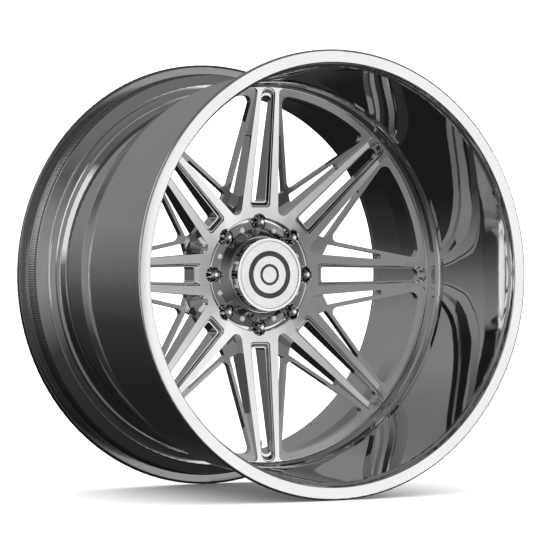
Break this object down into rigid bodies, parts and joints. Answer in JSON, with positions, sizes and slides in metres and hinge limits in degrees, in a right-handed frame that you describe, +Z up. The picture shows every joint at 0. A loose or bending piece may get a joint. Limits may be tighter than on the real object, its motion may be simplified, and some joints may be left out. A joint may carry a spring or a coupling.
{
  "type": "deep-lip forged wheel rim",
  "caption": "Deep-lip forged wheel rim with split spokes and Y-shaped webs, bolt-on raised centre cap, closed lug nuts and a clamp-in tyre valve, for a vehicle hub.",
  "frame": {"origin": "on the spin axis, half way between the two flange faces", "axes": "spin axis along Y, street side towards -Y, vehicle side towards +Y, +Z up, tyre valve at the lowest point"},
  "size_m": [0.6954, 0.428, 0.6954],
  "materials": {
    "polished_forging": "mirror polished",
    "weld_metal": "as welded",
    "dark_chrome": "polished, dark",
    "bright_chrome": "mirror polished",
    "nut_chrome": "chrome plated",
    "screw_steel": "plain",
    "pale_badge": "satin",
    "dark_badge": "satin",
    "black_rubber": "matt",
    "valve_metal": "satin",
    "valve_brass": "plain"
  },
  "bodies": {
    "wheel": {"rim_barrel": "polished_forging", "wheel_centre": "polished_forging", "seam_weld": "weld_metal", "cap_base_ring": "dark_chrome", "cap_screws": "screw_steel", "valve_stem": "valve_metal", "valve_grommet": "black_rubber", "valve_washer": "valve_metal", "valve_nut": "valve_metal", "valve_core": "valve_brass", "valve_core_spring": "screw_steel"},
    "centre_cap": {"cap_tower": "bright_chrome", "cap_face_disc": "pale_badge", "cap_badge_rings": "dark_badge", "cap_o_ring": "black_rubber"},
    "lug_nut_1": {"lug_nut_1": "nut_chrome"},
    "lug_nut_2": {"lug_nut_2": "nut_chrome"},
    "lug_nut_3": {"lug_nut_3": "nut_chrome"},
    "lug_nut_4": {"lug_nut_4": "nut_chrome"},
    "lug_nut_5": {"lug_nut_5": "nut_chrome"},
    "lug_nut_6": {"lug_nut_6": "nut_chrome"},
    "lug_nut_7": {"lug_nut_7": "nut_chrome"},
    "lug_nut_8": {"lug_nut_8": "nut_chrome"},
    "valve_cap": {"valve_cap": "valve_metal", "valve_cap_seal": "black_rubber"},
    "valve_pin": {"valve_core_pin": "valve_brass"}
  },
  "joints": [
    {"name": "lug_nut_1_turn", "type": "hinge", "parent": "wheel", "child": "lug_nut_1", "pos_m": [0.085, 0.06, 0], "axis": [0, -1, 0], "continuous": true},
    {"name": "lug_nut_2_turn", "type": "hinge", "parent": "wheel", "child": "lug_nut_2", "pos_m": [0.0601, 0.06, 0.0601], "axis": [0, -1, 0], "continuous": true},
    {"name": "lug_nut_3_turn", "type": "hinge", "parent": "wheel", "child": "lug_nut_3", "pos_m": [0, 0.06, 0.085], "axis": [0, -1, 0], "continuous": true},
    {"name": "lug_nut_4_turn", "type": "hinge", "parent": "wheel", "child": "lug_nut_4", "pos_m": [-0.0601, 0.06, 0.0601], "axis": [0, -1, 0], "continuous": true},
    {"name": "lug_nut_5_turn", "type": "hinge", "parent": "wheel", "child": "lug_nut_5", "pos_m": [-0.085, 0.06, 0], "axis": [0, -1, 0], "continuous": true},
    {"name": "lug_nut_6_turn", "type": "hinge", "parent": "wheel", "child": "lug_nut_6", "pos_m": [-0.0601, 0.06, -0.0601], "axis": [0, -1, 0], "continuous": true},
    {"name": "lug_nut_7_turn", "type": "hinge", "parent": "wheel", "child": "lug_nut_7", "pos_m": [0, 0.06, -0.085], "axis": [0, -1, 0], "continuous": true},
    {"name": "lug_nut_8_turn", "type": "hinge", "parent": "wheel", "child": "lug_nut_8", "pos_m": [0.0601, 0.06, -0.0601], "axis": [0, -1, 0], "continuous": true},
    {"name": "cap_pull", "type": "slide", "parent": "wheel", "child": "centre_cap", "axis": [0, -1, 0], "range_m": [0, 0.03]},
    {"name": "valve_cap_off", "type": "slide", "parent": "wheel", "child": "valve_cap", "axis": [0, 0, 1], "range_m": [0, 0.016]},
    {"name": "valve_pin_press", "type": "slide", "parent": "wheel", "child": "valve_pin", "axis": [0, 0, -1], "range_m": [0, 0.0012], "stiffness_N_per_m": 400, "springref_m": -0.002, "deforming": ["valve_core_spring"]}
  ]
}
